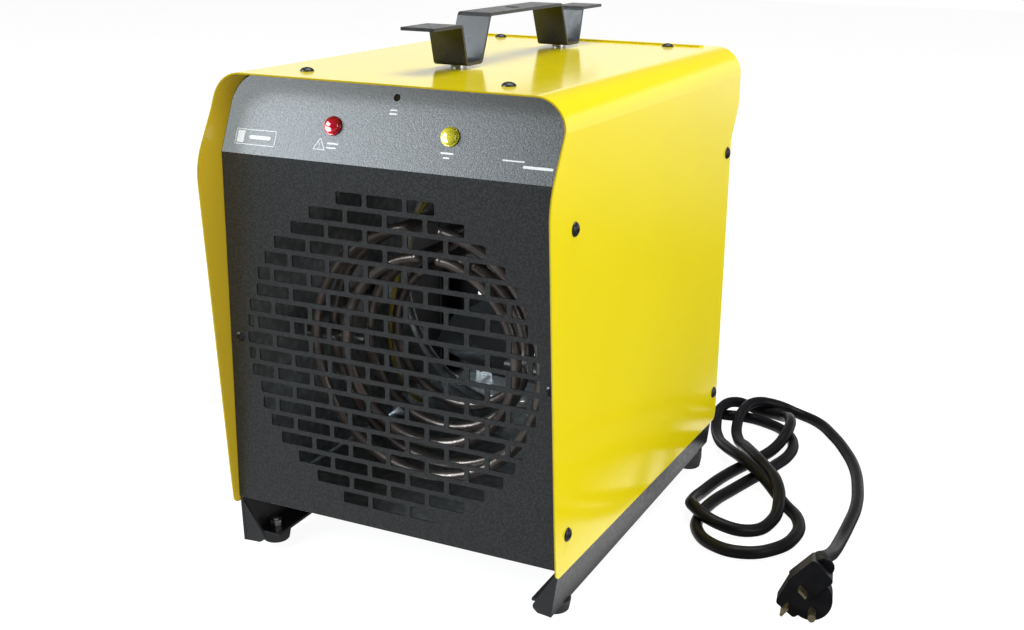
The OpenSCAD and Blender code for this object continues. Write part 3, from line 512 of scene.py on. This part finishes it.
def plug():
    """Moulded plug: a round face with a shouldered back, and its ribbed boot."""
    leaning = (Matrix.Translation(mm(267.5, -72.5, 0.4))
               @ Matrix.Rotation(math.radians(12), 4, "Z")
               @ Matrix.Rotation(math.radians(-12), 4, "X")
               @ Matrix.Translation(mm(0, 0, 4.6)))
    face_r, face_x, face_z, face_steps = 13.6, 3, 14.2, 30
    disc = []
    for k in range(face_steps + 1):
        t = math.radians(-121 + 184 * k / face_steps)
        disc.append(Vector((face_x + face_r * math.cos(t), face_z + face_r * math.sin(t))))
    left = fillet([(-12.9, 23.5, 1.6), (-19.6, 9.6, 2.2), (-7.4, 0.8, 2.2), (-4.6, 2.7, 0.8),
                   (3, 14, 0), (-2, 27, 0)])
    left = left[:-2]  # the last two corners only shape the fillets; the disc closes the outline

    def shell(bm):
        slab(bm, left + disc, -10.6, 9.5)
        shoulder = fillet([(2.7, 41, 2.4), (-13.6, 24.6, 2.0), (0, 13.6, 3.0), (16.8, 27.6, 2.4)])
        slab(bm, shoulder, -11.8, 11.5)

    build("plug_shell", shell, "heater", "cord_rubber", 1.3, 3, leaning)
    path = through([(274.4, -63.4, 36.8), (272.4, -58.6, 37.4), (270.2, -52.5, 36.6),
                    (269.1, -44, 34.0)], 6)
    radii = []
    for i in range(len(path)):
        k = i / (len(path) - 1)
        radii.append(7.6 - 2.4 * k + (0.5 if i % 3 else -0.25))
    build("plug_boot", lambda bm: swept(bm, path, radii, 24), "heater", "cord_rubber")


plug()
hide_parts("plug_body")
power_cord()


# ---- wiring behind the grille -----------------------------------------------------------


def harness():
    """Three sleeved runs to the elements and two thin leads to the signal lamps."""
    runs = {
        "sleeve_cream": ("sleeve_cream", [
            (-14, 24, 240), (-22, 27, 250), (-44, 22, 248), (-66, 14, 236), (-76, 11, 214),
            (-80, 10, 190), (-86, 10, 160), (-92, 12, 130), (-97, 18, 104), (-94, 28, 74),
            (-90, 40, 60), (-82, 60, 50), (-40, 84, 47), (20, 96, 47), (70, 104, 49)]),
        "sleeve_yellow": ("sleeve_yellow", [
            (-30, 24, 234), (-40, 29, 242), (-58, 22, 238), (-72, 12, 222), (-82, 9, 198),
            (-90, 9, 168), (-97, 11, 136), (-101, 17, 108), (-97, 28, 76), (-92, 40, 58),
            (-80, 62, 46), (-40, 90, 43.6), (20, 104, 43.6), (70, 116, 49)]),
        "sleeve_red": ("sleeve_red", [
            (14, 24, 240), (26, 28, 252), (52, 24, 254), (78, 16, 240), (96, 14, 210),
            (103, 16, 170), (104, 18, 120), (98, 24, 80), (91, 40, 60), (88, 60, 52),
            (84, 84, 50)]),
        "lamp_lead_left": ("wire_insulation", [
            (-42, -124, 304), (-38, -108, 302), (-20, -96, 306), (0, -92, 312), (22, -90, 308),
            (60, -60, 306), (86, 0, 302), (90, 40, 300), (92, 90, 240), (100, 120, 140),
            (96, 128, 60)]),
        "lamp_lead_right": ("wire_insulation", [
            (42, -124, 304), (50, -106, 300), (66, -80, 304), (86, -30, 300), (91, 36, 301),
            (96, 90, 236), (104, 118, 130), (99, 126, 60)]),
    }
    for name, (slot_name, points) in runs.items():
        diameter = 3.6 if slot_name.startswith("sleeve") else 2.2
        piece(name, round_line(name, points, diameter, 4, 5), "heater", slot_name)


harness()


# ---- printed marks, in plain generic shapes, and lamp lenses -----------------------------


def printed(name, outlines, at):
    """Thin raised print: 0.06 mm proud of its surface, and sunk 0.02 mm into it."""
    def shapes(bm):
        for outline in outlines:
            slab(bm, outline, -0.06, 0.02)

    build(name, shapes, "heater", "print_white", at=at)


def bar(x, z, w, h, r=0.4):
    """Rectangle with rounded corners."""
    r = min(r, h * 0.49)
    x0, x1, z0, z1 = x - w / 2, x + w / 2, z - h / 2, z + h / 2
    return fillet([(x0, z0, r), (x1, z0, r), (x1, z1, r), (x0, z1, r)], 3)


def frame_of(corners, width):
    """Thin closed line round a polygon, as one outline for each side."""
    out = []
    pts = [Vector(p) for p in corners]
    for a, b in zip(pts, pts[1:] + pts[:1]):
        along = (b - a).normalized() * width / 2
        side = Vector((-along.y, along.x))
        out.append([a - along - side, b + along - side, b + along + side, a - along + side])
    return out


def marks():
    """Blank name plate, warning triangle and rows of short bars, where the printing was."""
    rows = [
        bar(-40.6, 12.5, 8.6, 1.1), bar(-41.2, 9.6, 7.2, 1.1),
        bar(42.6, 13.6, 9.0, 1.1), bar(42.6, 10.7, 4.6, 1.1),
        bar(-0.6, 37.6, 5.2, 0.9), bar(-0.6, 35.2, 5.8, 0.9),
    ]
    rows += frame_of([(-54.6, 8.0), (-46.0, 8.0), (-50.3, 15.4)], 0.55)
    rows += [bar(-50.3, 11.4, 0.6, 2.6), bar(-50.3, 9.3, 0.7, 0.7)]
    rows += frame_of([(-116.4, 6.6), (-85.0, 6.6), (-85.0, 16.6), (-116.4, 16.6)], 0.5)
    rows += [bar(-112.4, 11.6, 5.6, 8.0, 0.3), bar(-97.2, 11.6, 17, 2.6, 1.2)]
    rows += [bar(88, 13.0, 15, 0.9), bar(105, 10.0, 20, 1.7, 0.8)]
    printed("strip_marks", rows, STRIP)


marks()


def lenses():
    """Smooth moulded domes for the two signal lamps."""
    radius, height, rim = 5.7, 3.55, -1.6
    dome = [(0, 0.0), (6.3, 0.0), (6.3, -1.0), (6.15, -1.2), (5.75, -1.3)]
    for degrees in range(0, 90, 6):
        t = math.radians(degrees)
        dome.append((radius * math.cos(t), rim - height * math.sin(t)))
    dome.append((0, rim - height))
    made = []
    for name, x, slot_name in (("safety_lamp_lens", -42.7, "red_lens"),
                               ("power_lamp_lens", 42.7, "amber_lens")):
        obj = build(name + "_dome", lambda bm: turned(bm, dome, (x, 0, 24.1)),
                    "heater", slot_name, at=STRIP)
        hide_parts(name)
        made.append(obj)
    return made


LENSES = lenses()


def dial():
    """Eleven ticks round the thermostat knob and a pointer line on it, on the back."""
    ticks = []
    for k in range(11):
        t = math.radians(225 - 27 * k)
        c = Vector((math.cos(t), math.sin(t)))
        n = Vector((-c.y, c.x))
        r0, r1, w = 21.0, 23.0 + 0.12 * k, 0.35
        ticks.append([c * r0 - n * w, c * r0 + n * w, c * r1 + n * w, c * r1 - n * w])
    printed("dial_marks", ticks, Matrix.Translation(mm(KNOB_X, 162, KNOB_Z)) @ FACING_BACK)
    line = [Vector(p) for p in ((-0.5, 10.6), (0.5, 10.6), (0.5, 15.2), (-0.5, 15.2))]
    build("knob_line", lambda bm: slab(bm, line, 0.02, -0.12), "thermostat_knob", "print_white",
          at=Matrix.Translation(mm(KNOB_X, 178.2, KNOB_Z)) @ FACING_BACK)


dial()


# ---- floor, light, camera --------------------------------------------------------------


def floor():
    """White floor. In reflections only a band of it, close beside the object, is bright."""
    me = bpy.data.meshes.new("floor")
    s = 6.0
    me.from_pydata([(-s, -s, 0), (s, -s, 0), (s, s, 0), (-s, s, 0)], [], [(0, 1, 2, 3)])
    obj = bpy.data.objects.new("floor", me)
    bpy.context.scene.collection.objects.link(obj)
    m = Mat("floor_white", (0.3, 0.3, 0.3), 0.9, Specular_IOR_Level=0.0, Emission_Strength=0.93)
    m.set("Emission Color", (1, 1, 1, 1))
    drift = m.remap(m.noise(400, 2), 0.3, 0.7, 0, 1)
    m.base(m.color_mix(drift, (0.17, 0.17, 0.17), (0.19, 0.19, 0.19)))
    path = m.node("ShaderNodeLightPath")
    split = m.node("ShaderNodeSeparateXYZ")
    m.link(m.place(), split.inputs[0])
    starts = m.remap(split.outputs["X"], 0.125, 0.135, 0.0, 1.0)
    ends = m.remap(split.outputs["X"], 0.16, 0.195, 1.0, 0.0)
    band = m.math("MULTIPLY", starts, ends)
    hide = m.math("MULTIPLY", path.outputs["Is Glossy Ray"], m.math("SUBTRACT", 1.0, band))
    clear = m.node("ShaderNodeBsdfTransparent")
    cover = m.node("ShaderNodeMixShader")
    m.link(hide, cover.inputs[0])
    m.link(m.bsdf.outputs[0], cover.inputs[1])
    m.link(clear.outputs[0], cover.inputs[2])
    m.link(cover.outputs[0], m.tree.nodes["Material Output"].inputs["Surface"])
    me.materials.append(m.mat)


def softbox(name, at, target, size, power, color=(1, 1, 1)):
    """Rectangular area lamp, aimed at a point."""
    lamp = bpy.data.lights.new(name, "AREA")
    lamp.shape = "RECTANGLE"
    lamp.size, lamp.size_y = size
    lamp.energy = power
    lamp.color = color
    obj = bpy.data.objects.new(name, lamp)
    bpy.context.scene.collection.objects.link(obj)
    obj.location = at
    obj.rotation_euler = (Vector(target) - Vector(at)).to_track_quat("-Z", "Y").to_euler()
    return obj


# brightness of the studio behind and in front of the object, by height: the sine of the
# elevation, then the brightness there
BACK_SKY = ((-1.0, -0.42, -0.24, -0.15, -0.12, 0.20, 0.28, 1.0),
            (0.04, 0.10, 0.06, 0.55, 1.0, 1.0, 0.18, 0.22))
FRONT_SKY = ((-1.0, -0.6, -0.42, -0.30, -0.10, 0.15, 0.30, 1.0),
             (0.04, 0.20, 1.0, 0.36, 0.08, 0.10, 0.16, 0.20))


def world():
    """Studio round the object, bright behind and dim in front, plain white to the camera."""
    w = bpy.data.worlds.new("studio")
    w.use_nodes = True
    tree = w.node_tree
    back = tree.nodes["Background"]
    coord = tree.nodes.new("ShaderNodeTexCoord")
    split = tree.nodes.new("ShaderNodeSeparateXYZ")
    tree.links.new(coord.outputs["Generated"], split.inputs[0])

    def scale(value, low, high):
        n = tree.nodes.new("ShaderNodeMapRange")
        n.inputs["From Min"].default_value = low
        n.inputs["From Max"].default_value = high
        tree.links.new(value, n.inputs["Value"])
        return n.outputs["Result"]

    def profile(heights, glow):
        ramp = tree.nodes.new("ShaderNodeValToRGB")
        stops = ramp.color_ramp.elements
        for i, (height, light) in enumerate(zip(heights, glow)):
            if i == 0:
                stop = stops[0]
            elif i == len(glow) - 1:
                stop = stops[-1]
            else:
                stop = stops.new(height / 2 + 0.5)
            stop.color = (light, light, light, 1)
        tree.links.new(scale(split.outputs["Z"], -1.0, 1.0), ramp.inputs["Fac"])
        return ramp.outputs["Color"]

    def mix(fac, a, b=None):
        n = tree.nodes.new("ShaderNodeMix")
        n.data_type = "RGBA"
        tree.links.new(fac, n.inputs["Factor"])
        tree.links.new(a, n.inputs[MIX_A])
        if b is None:
            n.inputs[MIX_B].default_value = (1, 1, 1, 1)
        else:
            tree.links.new(b, n.inputs[MIX_B])
        return n.outputs[MIX_RESULT]

    sky = mix(scale(split.outputs["Y"], 0.15, -0.25), profile(*BACK_SKY), profile(*FRONT_SKY))
    path = tree.nodes.new("ShaderNodeLightPath")
    tree.links.new(mix(path.outputs["Is Camera Ray"], sky), back.inputs["Color"])
    bpy.context.scene.world = w


def linked(lamp, objects, state, shadows=False):
    """Limit a lamp to some objects, or keep it off them; with shadows, theirs go the same way."""
    group = bpy.data.collections.new(lamp.name + "_nodes")
    for obj in objects:
        group.objects.link(obj)
    for entry in group.collection_objects:
        entry.light_linking.link_state = state
    lamp.light_linking.receiver_collection = group
    if shadows:
        lamp.light_linking.blocker_collection = group


def lights():
    """Two cool lamps on the control strip, one on its lenses, and two on the whole object."""
    # the strip's lamps share one place; only the first passes through the wrap's brow
    unlit = [NODES["housing"], NODES["reset_button"]]
    for name, power, shadows in (("strip_box", 52, True), ("strip_shade", 48, False)):
        strip = softbox(name, (-1.68, -1.50, 1.28), (0, -0.15, 0.31), (1.8, 0.9), power,
                        (0.86, 0.95, 1.0))
        linked(strip, unlit, "EXCLUDE", shadows)
    lens_lamp = softbox("lens_box", (-0.78, -0.80, 0.02), (-0.04, -0.14, 0.313), (1.5, 0.9), 70)
    linked(lens_lamp, LENSES, "INCLUDE", shadows=True)
    softbox("top_box", (0.2, 0.3, 2.2), (0, 0.1, 0.2), (1.6, 1.6), 47)
    softbox("right_box", (2.3, -0.6, 1.0), (0, 0, 0.2), (1.2, 1.4), 24)


def camera():
    cam = bpy.data.cameras.new("camera")
    cam.lens = 47.19
    cam.sensor_width = 36.0
    cam.clip_end = 50.0
    obj = bpy.data.objects.new("camera", cam)
    bpy.context.scene.collection.objects.link(obj)
    yaw, pitch, roll = 0.4548, 0.2958, 0.0115
    obj.matrix_world = (Matrix.Translation(mm(437.9, -863.8, 448.8))
                        @ Matrix.Rotation(yaw, 4, "Z")
                        @ Matrix.Rotation(math.pi / 2 - pitch, 4, "X")
                        @ Matrix.Rotation(roll, 4, "Z"))
    bpy.context.scene.camera = obj


floor()
world()
lights()
camera()
bpy.context.scene.view_settings.view_transform = "Standard"
